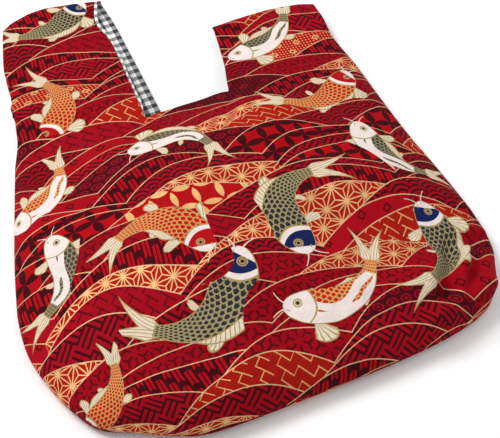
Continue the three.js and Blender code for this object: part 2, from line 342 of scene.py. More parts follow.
def front_height(s, r, x, y):
    """Height of the front's face over the table, on the body."""
    across = (1 - np.abs(2 * s - 1) ** DOME_POWER) ** FLANK_POWER
    share = joined_rise(across, read_table(CREST_ROWS, 1, np.sqrt(r)))
    height = SEAM_HEIGHT + (CREST_HEIGHT - SEAM_HEIGHT) * share
    return height + fold_offset(x, y, MAIN_FOLDS) * np.minimum(1, 2 * share)


def back_height(s, r, width):
    """Height of the back's underside: flat on the table, and up to the seams at the edges."""
    gaps = (np.minimum(s, 1 - s) * width, r * BODY_HEIGHT)
    flat = joined_rise(*(round_rise(gap / BACK_EDGE_REACH) for gap in gaps))
    return SEAM_HEIGHT * (1 - flat)


# %% [markdown]
# Each panel is one sheet: a body and two straps that stand on its upper edge. The rows and columns crowd
# towards the seams, where the cloth turns down steeply. A sheet also keeps its flat coordinates, in mm along
# the threads, because the print and the weave follow the cloth and not the room.

# %% Body and straps
BODY_ROWS = 120
LONG_ROWS = 70
SHORT_ROWS = 38
STRAP_COLUMNS = 60
NECK_COLUMNS = 38
ROLL_COLUMNS = 4
QUARTER = math.pi / 2
HOLD_REACH = 14.0
ROLL_CROWN = 1.1


def strap_points(front, strap, columns):
    """The points of one strap, rows from the neckline up, and how near each is to a seam."""
    q = np.sin(QUARTER * np.linspace(0, 1, strap["rows"] + 1))[:, None]
    column = columns[None, strap["first"]:strap["first"] + STRAP_COLUMNS + 1]
    even = (column - column[:, :1]) / (column[:, -1:] - column[:, :1])
    extra = np.zeros_like(even)
    if strap["roll"]:
        beyond = np.linspace(0, 1, ROLL_COLUMNS + 1)[1:]
        even = np.hstack([even, np.ones((1, len(beyond)))])
        extra = np.hstack([extra, beyond[None, :]])
        column = np.hstack([column, np.repeat(column[:, -1:], len(beyond), axis=1)])
    left = read_table(strap["table"], 1, q) * HALF_WIDTH
    right = read_table(strap["table"], 2, q) * HALF_WIDTH
    reach = read_table(strap["top"], 1, even) * strap["rise"]
    fold = round_rise((1 - q) * reach / FOLD_REACH)
    leave = smooth(q / strap["slit"])
    seam = 1 - smooth((q - strap["slit"]) * strap["rise"] / SLIT_RELEASE)
    from_outside = np.abs(even - strap["outer"]) * (right - left)
    edge = (1 - round_rise(from_outside / BACK_EDGE_REACH)) * seam
    z = SEAM_HEIGHT * edge
    if front:
        lift = read_table(strap["table"], 3, q) * STRAP_CLEARANCE
        arch = lift - STRAP_DROOP * (2 * even - 1) ** 2
        flat = body_place(column, np.ones_like(column))
        base = front_height(column, np.ones_like(column), flat[..., 0], flat[..., 1])
        free = mix(base, arch, smooth(q / (2 * strap["slit"])))
        # The first row is the body's last one, and the strap's own edge grows out of it
        z = mix(base, mix(free, SEAM_HEIGHT, edge), leave)
    z = mix(FOLD_HEIGHT, z, fold) + ROLL_CROWN * np.sin(math.pi * extra) * fold * leave
    x = mix(left, right, even) + strap["roll"] * extra * fold * leave
    y = BODY_HEIGHT + q * reach
    held = np.maximum(np.exp(-((1 - q) * reach / HOLD_REACH)), seam * np.exp(-from_outside / HOLD_REACH))
    return np.stack([x, y, z * np.ones_like(x)], axis=-1), held * np.ones_like(x)


def body_points(front, columns):
    """The points of the body, rows from the bottom seam up, and how near each is to a seam."""
    r = (1 - np.cos(QUARTER * np.linspace(0, 1, BODY_ROWS + 1)))[:, None] * np.ones_like(columns)
    s = columns[None, :] * np.ones_like(r)
    flat = body_place(s, r)
    width = flat[:, -1:, 0] - flat[:, :1, 0]
    z = front_height(s, r, flat[..., 0], flat[..., 1]) if front else back_height(s, r, width)
    from_seam = np.minimum(np.minimum(s, 1 - s) * width, r * BODY_HEIGHT)
    return np.stack([flat[..., 0], flat[..., 1], z], axis=-1), np.exp(-from_seam / HOLD_REACH)


# %% [markdown]
# Body and straps are flat grids whose points are moved to their places. Equal points are merged, so that the
# straps grow out of the body. Then the neckline is smoothed, and both panels draw back from the seam by a
# fraction of a millimetre, so that their walls don't meet.

# %% Sheets of cloth
MERGE_REACH = 0.002
NECK_BLEND = 30.0
NECK_PASSES = 40
SEAM_DRAW = 0.25
LINING_DRAW = 0.3
LINING_DRAW_POWER = 8


def thread_lengths(points, axis, start):
    """Lengths along the cloth from one row or column, counted negative before it."""
    steps = np.linalg.norm(np.diff(points, axis=axis), axis=-1)
    run = np.insert(np.cumsum(steps, axis=axis), 0, 0, axis=axis)
    return run - np.take(run, [start], axis=axis)


def add_block(sheet, points, held, flat):
    """Adds a flat grid to the sheet and lays each of its points in place."""
    rows, columns = points.shape[0] - 1, points.shape[1] - 1
    held_layer = sheet.verts.layers.float["held"]
    flat_layer = sheet.verts.layers.float_vector["flat"]
    made = bmesh.ops.create_grid(sheet, x_segments=columns, y_segments=rows, size=1.0)
    for vert in made["verts"]:
        i = round((vert.co.x + 1) / 2 * columns)
        j = round((vert.co.y + 1) / 2 * rows)
        vert[held_layer] = held[j, i]
        vert[flat_layer] = (*flat[j, i], 0)
        vert.co = points[j, i] - (0, TOTAL_HEIGHT / 2, 0)


def make_sheet(front, roll=0.0, edge_thread=None):
    """One panel's surface in mm, with its flat coordinates and its nearness to a seam in layers. Only a
    lining is given an edge_thread, which runs along the inner edge of the long handle's strap."""
    long_strap, short_strap = (LONG_STRAP, SHORT_STRAP) if front else (LONG_BACK_STRAP, SHORT_BACK_STRAP)
    neck_left, neck_right = outline_at(0.0)[0], outline_at(1.0)[0]
    inner = [(table[0, column] * HALF_WIDTH - neck_left) / (neck_right - neck_left)
             for table, column in ((long_strap, 2), (short_strap, 1))]
    turn = QUARTER * np.linspace(0, 1, STRAP_COLUMNS + 1)
    columns = np.concatenate([
        inner[0] * (1 - np.cos(turn)),
        np.linspace(*inner, NECK_COLUMNS + 1)[1:-1],
        mix(inner[1], 1, np.sin(turn)),
    ])
    sheet = bmesh.new()
    sheet.verts.layers.float.new("held")
    sheet.verts.layers.float_vector.new("flat")
    body, body_held = body_points(front, columns)
    middle = len(columns) // 2
    across = thread_lengths(body, 1, middle) + body[:, middle:middle + 1, 0]
    is_lining = edge_thread is not None
    if is_lining:
        across += edge_thread - across[-1, STRAP_COLUMNS]
    up = thread_lengths(body, 0, BODY_ROWS) + BODY_HEIGHT
    add_block(sheet, body, body_held, np.stack([across, up], axis=-1))
    straps = [
        dict(first=0, rows=LONG_ROWS, rise=LONG_RISE, table=long_strap, top=LONG_TOP, slit=LONG_SLIT,
             outer=0, roll=roll),
        dict(first=STRAP_COLUMNS + NECK_COLUMNS, rows=SHORT_ROWS, rise=SHORT_RISE, table=short_strap,
             top=SHORT_TOP, slit=SHORT_SLIT, outer=1, roll=0.0),
    ]
    middle = STRAP_COLUMNS // 2
    for strap in straps:
        points, held = strap_points(front, strap, columns)
        drift = points[:, middle:middle + 1, 0] - points[:1, middle:middle + 1, 0]
        across_strap = thread_lengths(points, 1, middle) + across[-1, strap["first"] + middle] + drift
        if is_lining and strap["first"] == 0:
            across_strap += edge_thread - across_strap[:, STRAP_COLUMNS:STRAP_COLUMNS + 1]
        up_strap = thread_lengths(points, 0, 0) + BODY_HEIGHT
        add_block(sheet, points, held, np.stack([across_strap, up_strap], axis=-1))
    bmesh.ops.remove_doubles(sheet, verts=sheet.verts, dist=MERGE_REACH)
    if front:
        # Where a strap leaves the body, the cloth runs on without a crease
        neckline = BODY_HEIGHT - TOTAL_HEIGHT / 2
        near = [vert for vert in sheet.verts
                if abs(vert.co.y - neckline) < NECK_BLEND and not vert.is_boundary]
        for _ in range(NECK_PASSES):
            bmesh.ops.smooth_vert(sheet, verts=near, factor=0.5, use_axis_z=True)
    else:
        bmesh.ops.reverse_faces(sheet, faces=sheet.faces)
    held_layer = sheet.verts.layers.float["held"]
    for vert in sheet.verts:
        draw = SEAM_DRAW + is_lining * LINING_DRAW * vert[held_layer] ** LINING_DRAW_POWER
        vert.co.z += draw if front else -draw * smooth(vert.co.z / SEAM_HEIGHT)
    sheet.normal_update()
    return sheet


# %% [markdown]
# Cotton that was stuffed, carried and laid down is never smooth. Small folds run in from the lower corners,
# shallow dents cover the front, and the seams pull the edge into puckers. A cloth simulation could give
# these, but it would lose the outline, so they are laid on as measured moves.

# %% Wrinkles
# wave length and depth in mm, and the layer of the noise
DENTS = (46.0, 1.7, 0.3)
UNEVENNESS = (17.0, 0.4, 5.1)
PUCKERS = (9.0, 0.75, 9.7)
# from across, from up, to across, to up, width and depth (shares of FOLD_WIDTH and FOLD_DEPTH)
SMALL_FOLDS = [
    (0.77, 0.21, 0.64, 0.095, 0.3, 2.0), (0.83, 0.20, 0.71, 0.10, 0.24, -1.2),
    (0.89, 0.18, 0.72, 0.075, 0.2, 0.9), (0.90, 0.10, 0.52, 0.035, 0.26, -1.0),
    (0.80, 0.125, 0.5, 0.07, 0.3, 0.8), (0.97, 0.22, 0.78, 0.235, 0.24, 0.8),
    (0.98, 0.26, 0.80, 0.275, 0.24, -0.6), (0.99, 0.31, 0.78, 0.36, 0.3, 0.6),
    (0.60, 0.29, 0.74, 0.22, 0.36, 0.8), (0.40, 0.03, 0.34, 0.14, 0.3, 0.45),
    (-0.78, 0.12, -0.58, 0.20, 0.24, 0.35), (-0.93, 0.26, -0.74, 0.30, 0.24, 0.3),
    (-0.40, 0.02, -0.34, 0.14, 0.26, 0.28), (0.12, 0.01, 0.16, 0.12, 0.26, 0.28),
    (0.50, 0.30, 0.36, 0.50, 0.3, 0.3), (-0.13, 0.99, -0.26, 0.88, 0.3, 0.4),
    (0.30, 0.99, 0.20, 0.88, 0.3, 0.4), (-0.72, 0.92, -0.60, 0.70, 0.35, 0.3),
]


def wave_at(place, length, depth, layer):
    """Smooth noise over the flat bag, in mm."""
    return depth * noise.noise(Vector((place.x / length, (place.y + TOTAL_HEIGHT / 2) / length, layer)))


def wrinkle(place, held):
    """How far the cloth stands out along its own face at a place of the bag, in mm."""
    offset = wave_at(place, *DENTS) + wave_at(place, *UNEVENNESS)
    # The puckers are deepest a little way in from the seam
    return offset * (1 - held) + wave_at(place, *PUCKERS) * held * (1 - held) * 4


def lay_wrinkles(sheet):
    """Moves each point of a sheet along its normal by its wrinkles and small folds."""
    held_layer = sheet.verts.layers.float["held"]
    places = np.array([vert.co for vert in sheet.verts])
    small = fold_offset(places[:, 0], places[:, 1] + TOTAL_HEIGHT / 2, SMALL_FOLDS)
    for vert, fold in zip(sheet.verts, small):
        held = vert[held_layer]
        vert.co += vert.normal * (wrinkle(vert.co, held) + fold * (1 - held**2))


# %% [markdown]
# A sheet becomes a piece of cloth when it gets a wall. Solidify adds it on the inner side, so the face stays
# where it was cut, and a small bevel rounds the edges, which are turned in and pressed on the real bag.

# %% Walls
EDGE_ROUND = 0.4
EDGE_ANGLE = 60


def finish_sheet(sheet, name, node, slot_name, wall, depth=0.0):
    """Sinks a sheet to its depth, writes its flat map and makes it a walled piece for its node."""
    for vert in sheet.verts:
        vert.co -= vert.normal * depth
    flat_layer = sheet.verts.layers.float_vector["flat"]
    cloth_map = sheet.loops.layers.uv.new("cloth")
    for face in sheet.faces:
        face.smooth = True
        for loop in face.loops:
            loop[cloth_map].uv = loop.vert[flat_layer].xy
    bmesh.ops.scale(sheet, vec=(MM, MM, MM), verts=sheet.verts)
    piece = add_mesh(name, sheet)
    solid = piece.modifiers.new("cloth_wall", "SOLIDIFY")
    solid.thickness = wall * MM
    solid.offset = -1
    solid.use_quality_normals = True
    turned = piece.modifiers.new("turned_edge", "BEVEL")
    turned.width = EDGE_ROUND * MM
    turned.segments = 2
    turned.limit_method = "ANGLE"
    turned.angle_limit = math.radians(EDGE_ANGLE)
    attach(piece, "root")
    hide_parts(node)
    print(name, len(piece.data.polygons), "cells")
    return piece


# %% [markdown]
# Front and back end half a millimetre apart at the seam. The front gets all the wrinkles. The back lies on
# the table under the bag's weight, so it is pressed smooth and gets none.

# %% Front and back panels
front_sheet = make_sheet(True)
lay_wrinkles(front_sheet)
front_cloth = finish_sheet(front_sheet, "front_cloth", "front_panel", "outer_cloth", OUTER_WALL)
back_cloth = finish_sheet(make_sheet(False), "back_cloth", "back_panel", "outer_cloth", OUTER_WALL)

# %% [markdown]
# The lining is a second bag in the first one. Along the front strap of the long handle it is rolled out over
# the edge by 3 mm, as it often creeps out on a worn bag, so its sheet is wider there. Its checks run along
# the strap's inner edges: a light column on the roll in front and a dark one at the edge behind.

# %% Linings
GINGHAM_SQUARE = 4.4

lining = ("lining_cloth", LINING_WALL, LINING_DEPTH)
lining_sheet = make_sheet(True, LINING_ROLL, -GINGHAM_SQUARE)
lay_wrinkles(lining_sheet)
front_gingham = finish_sheet(lining_sheet, "front_gingham", "front_lining", *lining)
lining_sheet = make_sheet(False, edge_thread=GINGHAM_SQUARE)
back_gingham = finish_sheet(lining_sheet, "back_gingham", "back_lining", *lining)

# %% [markdown]
# The lining is a woven gingham: dyed and white threads cross, so the squares are white, mid grey and dark.
# Stripes along and across the threads are added up, and a ramp of three steps turns the sum into the cloth.
# A Checker node would give only two tones.

# %% Gingham
# A thread is about 0.4 mm wide. It is drawn twice as wide, so that a little of it shows in the picture.
THREAD = 0.8
STRIPE_SUM = 0.45
GINGHAM_TONES = [(0.0, "#eeeeec"), (0.2, "#8e8e90"), (0.7, "#2c2c30")]
WEAVE_SHOWN = 0.3
WEAVE_DEPTH = 0.15 * MM
CRUMPLE = 15.0
CRUMPLE_DEPTH = 4.5 * MM


def cloth_axes(put):
    """The flat coordinates of the cloth, in mm across and along the threads."""
    return put("SeparateXYZ", put("UVMap", uv_map="cloth")).node.outputs[:2]


def steps(put, value, stops):
    """A ramp of even colours without blending: stops are pairs of a place and a colour."""
    ramp_output = put("ValToRGB", value)
    ramp = ramp_output.node.color_ramp
    ramp.interpolation = "CONSTANT"
    for number, (place, colour) in enumerate(stops):
        element = ramp.elements[number] if number < 2 else ramp.elements.new(place)
        element.position = place
        element.color = srgb(colour)
    return ramp_output


def cloth_bump(put, across, along, crumpled):
    """Over and under of a plain weave, and the shallow crumples of cotton that has been carried."""
    waves = [put("SINE", put("*", axis, math.pi / THREAD)) for axis in (across, along)]
    weave = put("Bump", WEAVE_SHOWN, WEAVE_DEPTH, None, put("*", *waves))
    crumples = put("TexNoise", put("CombineXYZ", across, along, 0.0), None, 1 / CRUMPLE, 3.0)
    return put("Bump", crumpled, CRUMPLE_DEPTH, None, crumples, weave)


def make_gingham():
    """Yarn-dyed plain weave: dull, with the weave just showing."""
    material, shader = new_material("woven_cotton_gingham")
    put = functools.partial(add_node, material.node_tree)
    across, along = cloth_axes(put)
    stripes = [
        put("<", put("FRACT", put("/", axis, GINGHAM_SQUARE * 2)), 0.5)
        for axis in (across, along)
    ]
    colour = steps(put, put("*", put("+", *stripes), STRIPE_SUM), GINGHAM_TONES)
    material.node_tree.links.new(colour, shader.inputs["Base Color"])
    material.node_tree.links.new(cloth_bump(put, across, along, 0.3), shader.inputs["Normal"])
    shader.inputs["Roughness"].default_value = 0.9
    shader.inputs["Sheen Weight"].default_value = 0.15
    return material


gingham = make_gingham()
for piece in (front_gingham, back_gingham):
    piece.data.materials.append(gingham)
print("gingham squares", GINGHAM_SQUARE, "mm")

# %% [markdown]
# The outer cloth is cotton printed in an old Japanese manner: rows of overlapping hills with gold outlines,
# each filled with a traditional geometric pattern. It could be painted as an image, but as formulas in mm
# along the threads the patterns stay sharp and carry no picture.
# Each fill gives 1 on its lines and 0 on its ground. The numbers in its first line are its proportions.

# %% Fills on triangles and circles


def from_whole(put, share):
    """How far a share is past the nearest whole number."""
    return put("-", share, put("ROUND", share))


def square_sum(put, *sides):
    """The squares of two values, added up."""
    return put("+", *(put("*", side, side) for side in sides))


def folded_lattice(put, u, v, side):
    """Least and greatest of the three shares that place a point in its triangle of a lattice, and the gap
    between the two lesser ones."""
    row = put("/", v, side * math.sqrt(3) / 2)
    column = put("-", put("/", u, side), put("*", row, 0.5))
    parts = [put("FRACT", row), put("FRACT", column)]
    flip = put(">", put("+", *parts), 1.0)
    first, second = (put("ABSOLUTE", put("-", flip, part)) for part in parts)
    third = put("-", put("-", 1.0, first), second)
    least = put("MINIMUM", put("MINIMUM", first, second), third)
    greatest = put("MAXIMUM", put("MAXIMUM", first, second), third)
    return least, greatest, put("-", put("-", 1.0, put("*", least, 2.0)), greatest)


def hemp_leaf(put, u, v, side, line, side_line=1.5, star=0.9):
    """The hemp leaf: the sides of each triangle and the lines from its corners to its middle."""
    least, greatest, gap = folded_lattice(put, u, v, side)
    lines = put("<", put("MINIMUM", put("*", least, side_line), gap), line)
    return put("MAXIMUM", lines, put(">", greatest, star))


def tripods(put, u, v, side, line, leg=0.74):
    """Little three-legged marks, one in each triangle."""
    _, greatest, gap = folded_lattice(put, u, v, side)
    return put("*", put("<", gap, line), put("<", greatest, leg))


def linked_circles(put, u, v, circle, petal):
    """Circles that overlap by a quarter: 1 in the petals that two of them share."""
    sides = [put("ABSOLUTE", from_whole(put, put("/", axis, circle))) for axis in (u, v)]
    reach = put("-", square_sum(put, *sides), put("*", put("MAXIMUM", *sides), 2.0))
    return put("<", reach, petal - 1)


def waves(put, u, v, radius, rings, ground=0.45):
    """Blue sea waves: rows of ringed scales, each row half behind the one below."""
    level = put("FLOOR", put("/", v, radius / 2))
    chosen = None
    for behind in (1, 0, -1):
        row = put("-", level, float(behind))
        shift = put("FRACT", put("*", row, 0.5))
        share = put("+", put("/", u, 2 * radius), shift)
        aside = put("*", from_whole(put, share), 2.0)
        above = put("-", put("/", v, radius), put("*", row, 0.5))
        distance = put("SQRT", square_sum(put, aside, above))
        if chosen is None:
            chosen = distance
        else:
            chosen = put("Mix", put(">", chosen, 1.0), None, chosen, distance)
    return put(">", put("FRACT", put("*", chosen, rings)), ground)


# %% [markdown]
# The other fills are woven or scattered marks. Wickerwork and fence stand on a grid that is turned by 45
# degrees. Diamonds and rings stand in rows of which every second one is shifted by half.

# %% Woven and scattered fills


def slanting(put, u, v, cell):
    """The coordinates along the two slanting sides of square cells."""
    slant = math.sqrt(0.5) / cell
    return [put("*", put(kind, u, v), slant) for kind in ("+", "-")]


def basket(put, u, v, cell, stripes, ground=0.42):
    """Slanting wickerwork: bundles of stripes that turn by a right angle from cell to cell."""
    first, second = slanting(put, u, v, cell)
    parity = put("+", put("FLOOR", first), put("FLOOR", second))
    odd = put(">", put("FRACT", put("*", parity, 0.5)), 0.25)
    along = put("Mix", odd, None, first, second)
    return put(">", put("FRACT", put("*", along, stripes)), ground)


def fence(put, u, v, cell, line, plank=0.34):
    """Cypress fence: long slanting planks woven over and under, drawn with thin lines."""
    first, second = slanting(put, u, v, cell)
    shift = put("*", put("FLOOR", first), plank)
    place = put("FRACT", put("+", put("*", second, plank), shift))
    edges = (put("<", put("FRACT", axis), line) for axis in (second, first))
    return put("Mix", put("<", place, 2 * plank), None, *edges)


def arrow_bars(put, u, v, bar, length, stagger=0.37, slope=0.3, space=0.3, half_bar=0.36, half_split=0.07):
    """Arrow feathers: staggered upright bars with slanting ends and a split down the middle."""
    share = put("/", u, bar)
    column = put("FLOOR", share)
    aside = put("ABSOLUTE", put("-", put("-", share, column), 0.5))
    rise = put("+", put("/", v, length), put("*", column, stagger))
    rise = put("+", rise, put("*", aside, slope))
    filled = put(">", put("FRACT", rise), space)
    solid = put("*", filled, put("<", aside, half_bar))
    return put("*", solid, put(">", aside, half_split))


def staggered(put, u, v, spacing, rise):
    """How far a point is above and beside the nearest mark, in shares of the spacing up and across."""
    row = put("/", v, spacing * rise)
    shift = put("FRACT", put("*", put("ROUND", row), 0.5))
    column = put("+", put("/", u, spacing), shift)
    return [from_whole(put, share) for share in (row, column)]


def diamonds(put, u, v, spacing, size, rise=0.6, stroke=0.3):
    """Small hollow diamonds set far apart."""
    above, aside = (put("ABSOLUTE", share) for share in staggered(put, u, v, spacing, rise))
    reach = put("+", put("*", aside, spacing), put("*", above, spacing * rise))
    return put("COMPARE", reach, size, size * stroke)


def fawn_dots(put, u, v, spacing, size, apart=6, jewel=0.9):
    """Tied-and-dyed fawn spots: even dots, with a hollow diamond now and then."""
    offsets = (from_whole(put, put("/", axis, spacing)) for axis in (u, v))
    dots = put("<", square_sum(put, *offsets), size)
    return put("MAXIMUM", dots, diamonds(put, u, v, spacing * apart, spacing * jewel))


def eyed_rings(put, u, v, spacing, size, rise=0.8, stroke=0.35, dot=0.16):
    """Rings with a dot in the middle, close together."""
    square = square_sum(put, *staggered(put, u, v, spacing, rise))
    ring = put("COMPARE", square, size, size * stroke)
    return put("MAXIMUM", ring, put("<", square, size * dot))


# %% [markdown]
# The hills stand in rows, and each row hides the feet of the one above it. At any point at most three rows
# can be in front, so the material tests these three and takes the lowest hill that reaches up to the point.
# Every row has its own width and shift and every hill its own height and fill, from white noise.

# %% Hills
HILL_ROW = 12.5
HILL_RISE, HILL_RISE_MORE = 18.0, 4.5
HILL_WIDTH, HILL_WIDTH_MORE = 100.3, 41.3
ROW_SHIFT = 7.0
ROW_SEED = 88.0
GOLD_LINE = 0.75
# share of the hills, fill, its sizes in mm or shares, ground, lines, and 1 where the lines are gold ink
FILLS = [
    (0.11, hemp_leaf, (14.5, 0.055), "#a01a12", "#dcab74", 1),
    (0.12, tripods, (12.5, 0.13), "#920816", "#5c0812", 0),
    (0.12, waves, (13.0, 3.2), "#400a10", "#920a19", 0),
    (0.12, basket, (12.5, 3.0), "#420a11", "#980a19", 0),
    (0.10, arrow_bars, (6.8, 19.0), "#3c0a10", "#a60916", 0),
    (0.07, linked_circles, (16.0, 0.5), "#a60814", "#3e0a10", 0),
    (0.08, diamonds, (21.0, 3.0), "#9f0818", "#520911", 0),
    (0.03, linked_circles, (19.0, 0.42), "#a40d12", "#d6a56c", 1),
    (0.11, fence, (6.0, 0.22), "#940818", "#5e0813", 0),
    (0.06, eyed_rings, (11.0, 0.12), "#450a12", "#8c0a1b", 0),
    (0.02, fawn_dots, (3.0, 0.05), "#a41214", "#d6a56c", 1),
    (0.03, fence, (6.5, 0.12), "#a01810", "#d6a56c", 1),
    (0.03, waves, (11.0, 2.6), "#8e0819", "#5c0813", 0),
]


def random_shares(put, first, second):
    """Three random shares for a pair of whole numbers."""
    pair = put("CombineXYZ", first, second, 0.5)
    colour = put("TexWhiteNoise", pair, noise_dimensions="3D").node.outputs["Color"]
    return put("SeparateXYZ", colour).node.outputs


def hills(put, u, v):
    """The hill in front at a point: the gold of its outline and its own random shares."""
    level = put("FLOOR", put("/", v, HILL_ROW))
    chosen = None
    for behind in (1, 0, -1):
        row = put("-", level, float(behind))
        row_shares = random_shares(put, row, ROW_SEED)
        width = put("MULTIPLY_ADD", row_shares[0], HILL_WIDTH_MORE, HILL_WIDTH)
        place = put("+", put("/", u, width), put("*", row_shares[1], ROW_SHIFT))
        column = put("FLOOR", place)
        aside = put("-", put("*", put("-", place, column), 2.0), 1.0)
        rise = put("MULTIPLY_ADD", random_shares(put, row, column)[0], HILL_RISE_MORE, HILL_RISE)
        arch = put("-", 1.0, put("*", aside, aside))
        top = put("MULTIPLY_ADD", arch, rise, put("*", row, HILL_ROW))
        # Measured square to the arch, the gold line is as wide on its flanks as on its top
        slope = put("*", put("/", rise, width), put("*", aside, 4.0))
        lean = put("SQRT", put("MULTIPLY_ADD", slope, slope, 1.0))
        under = put("/", put("-", top, v), lean)
        if chosen is None:
            chosen = [under, row, column]
        else:
            hidden = put("<", chosen[0], 0.0)
            chosen = [put("Mix", hidden, None, old, new) for old, new in zip(chosen, (under, row, column))]
    return put("<", chosen[0], GOLD_LINE), random_shares(put, chosen[1], chosen[2])


# %% [markdown]
# Koi swim across the hills. A koi is drawn once, in its own coordinates: one share runs from nose to tail
# along its bent spine and the other out to its sides. The script works both out for every point of the cloth
# and stores them on the mesh, so that one drawing in the material serves fish of every size and bend.

# %% Koi on the cloth
# reach, span, spine and bend are shares of a koi's length
KOI_REACH, KOI_SPAN = 0.5, 1.5
KOI_CLEAR, KOI_NEAR = 4.5, 0.36
KOI_STEPS = 110
SPINE_FROM, SPINE_TO = -0.12, 1.45
BEND_FROM, BEND_LENGTH, HEAD_TURN = 0.1, 1.1, 0.35
# across and up on the cloth, length (mm), heading and bend (degrees), coat: 0 navy, 1 orange and white,
# 2 grey and white, 3 red
FRONT_KOI = [
    (-60, 58, 104, 25, -110, 0), (-112, 226, 78, 212, 95, 1), (-4, 226, 74, 160, -110, 2),
    (106, 226, 82, 20, -90, 3), (38, 140, 92, 245, -115, 0), (-138, 132, 76, 70, -85, 2),
    (-62, 152, 84, -35, 110, 3), (134, 142, 78, 115, 85, 2), (52, 44, 86, 190, 95, 1),
    (126, 48, 82, 70, -90, 0), (-76, 326, 78, -110, 95, 3), (-62, 412, 76, 20, -80, 0),
    (118, 326, 80, 205, 75, 2), (-134, 40, 66, 215, 80, 3),
]
BACK_SHIFT = 30
BACK_KOI = [(-u, v + BACK_SHIFT, length, 180 - heading, -bend, coat)
            for u, v, length, heading, bend, coat in FRONT_KOI]


def koi_places(flat, koi):
    """For each point of the cloth: share along and aside of the nearest koi, nearness and coat. Nearness
    also falls to nothing where two koi are equally near, so their coordinates never blend into a line."""
    places = np.zeros((len(flat), 4))
    nearest = np.full(len(flat), KOI_REACH)
    second = np.full(len(flat), KOI_REACH)
    share = np.linspace(SPINE_FROM, SPINE_TO, KOI_STEPS)
    for u, v, length, heading, bend, coat in koi:
        # The head is nearly straight, and the bend comes in behind it
        turned = smooth((share - BEND_FROM) / BEND_LENGTH) - HEAD_TURN
        turn = np.radians(heading + 180 + bend * turned)
        tangent = np.stack([np.cos(turn), np.sin(turn)], axis=-1)
        spine = np.cumsum(tangent, axis=0) * (share[1] - share[0]) * length
        spine += (u, v) - spine[KOI_STEPS // 2]
        close = np.hypot(*(flat - (u, v)).T) < KOI_SPAN * length
        offset = flat[close][:, None, :] - spine[None, :, :]
        pick = np.argmin((offset**2).sum(axis=-1), axis=1)
        offset = offset[np.arange(len(pick)), pick]
        ahead = (offset * tangent[pick]).sum(axis=-1)
        aside = offset[:, 0] * tangent[pick, 1] - offset[:, 1] * tangent[pick, 0]
        distance = np.hypot(*offset.T) / length
        better = distance < nearest[close]
        found = np.flatnonzero(close)[better]
        second[close] = np.minimum(second[close], np.maximum(distance, nearest[close]))
        nearest[found] = distance[better]
        places[found, 0] = share[pick[better]] + ahead[better] / length
        places[found, 1] = aside[better] / length
        places[found, 3] = coat
    places[:, 2] = np.minimum(1 - nearest / KOI_REACH, (second - nearest) * KOI_CLEAR)
    return places


def store_koi(piece, koi):
    """Keeps the koi's coordinates on the points of a cloth."""
    mesh = piece.data
    flat = np.zeros(len(mesh.vertices) * 3)
    mesh.attributes["flat"].data.foreach_get("vector", flat)
    places = koi_places(flat.reshape(-1, 3)[:, :2], koi)
    mesh.attributes.new("koi", "FLOAT_VECTOR", "POINT").data.foreach_set("vector", places[:, :3].ravel())
    mesh.attributes.new("koi_coat", "FLOAT", "POINT").data.foreach_set("value", places[:, 3].copy())
    print(piece.name, "has", len(koi), "koi over", int((places[:, 2] > 0).sum()), "points")


store_koi(front_cloth, FRONT_KOI)
store_koi(back_cloth, BACK_KOI)

# %% [markdown]
# Fins and tail are fans of ribs with an outline, and the fin on the back stands along one edge of the body,
# as old prints show it. Each part is a mask and a mask of its lines. share is the place along the koi, aside
# the place across it, and side the same without its sign.

# %% The koi's fins
INK_LINE = 0.0075
# where a fin starts along and aside, its direction in degrees from the tail, its reach and its spread
FINS = [(0.24, 0.11, 62, 0.22, 0.55), (0.6, 0.09, 48, 0.14, 0.6)]


def koi_fan(put, share, side, fin, scallop=0.05, rib=0.26):
    """One pair of fins: its mask and its lines."""
    root, root_side, angle, reach, spread = fin
    cosine, sine = math.cos(math.radians(angle)), math.sin(math.radians(angle))
    back, out = put("-", share, root), put("-", side, root_side)
    along = put("+", put("*", back, cosine), put("*", out, sine))
    aside = put("-", put("*", out, cosine), put("*", back, sine))
    tilt = put("/", aside, put("MAXIMUM", along, 0.001))
    radius = put("SQRT", square_sum(put, along, aside))
    edge = put("MULTIPLY_ADD", put("COSINE", put("*", tilt, 3.0)), scallop, reach - scallop)
    fan = put("*", put("COMPARE", tilt, 0.0, spread), put("<", radius, edge))
    ribs = put("<", put("FRACT", put("*", tilt, 4.5)), rib)
    rim = put(">", radius, put("-", edge, INK_LINE * 1.6))
    sides = put(">", put("ABSOLUTE", tilt), spread * 0.86)
    return fan, put("MAXIMUM", put("MAXIMUM", ribs, rim), sides)


def koi_dorsal(put, share, aside, side, width, start=0.3, length=0.46, height=0.075, rib=0.26):
    """The fin on the back, shaped like a leaf: its mask and its lines."""
    leaf = put("/", put("-", share, start), length)
    leaf = put("SINE", put("*", put("MINIMUM", put("MAXIMUM", leaf, 0.0), 1.0), math.pi))
    leaf = put("MULTIPLY_ADD", leaf, height, width)
    fin = put("*", put("<", side, leaf), put("<", aside, 0.0))
    fin = put("*", fin, put("COMPARE", share, start + length / 2, length / 2))
    slant = put("MULTIPLY_ADD", side, -22.0, put("*", share, 34.0))
    rim = put(">", side, put("-", leaf, INK_LINE * 1.4))
    return fin, put("MAXIMUM", put("<", put("FRACT", slant), rib), rim)


def koi_tail(put, share, side, start=0.96, length=0.38, rib=0.25):
    """The forked tail: its mask and its lines."""
    fork = put("/", put("-", share, start), length)
    middle = put("MULTIPLY_ADD", put("*", fork, fork), 0.14, 0.02)
    room = put("*", put("-", 1.0, fork), 0.07)
    room = put("MINIMUM", room, put("MULTIPLY_ADD", fork, 0.2, 0.02))
    off_middle = put("-", side, middle)
    far = put("ABSOLUTE", off_middle)
    tail = put("*", put("<", far, room), put(">", fork, 0.0))
    ribs = put("<", put("FRACT", put("*", off_middle, 42.0)), rib)
    return tail, put("MAXIMUM", put(">", far, put("-", room, INK_LINE)), ribs)


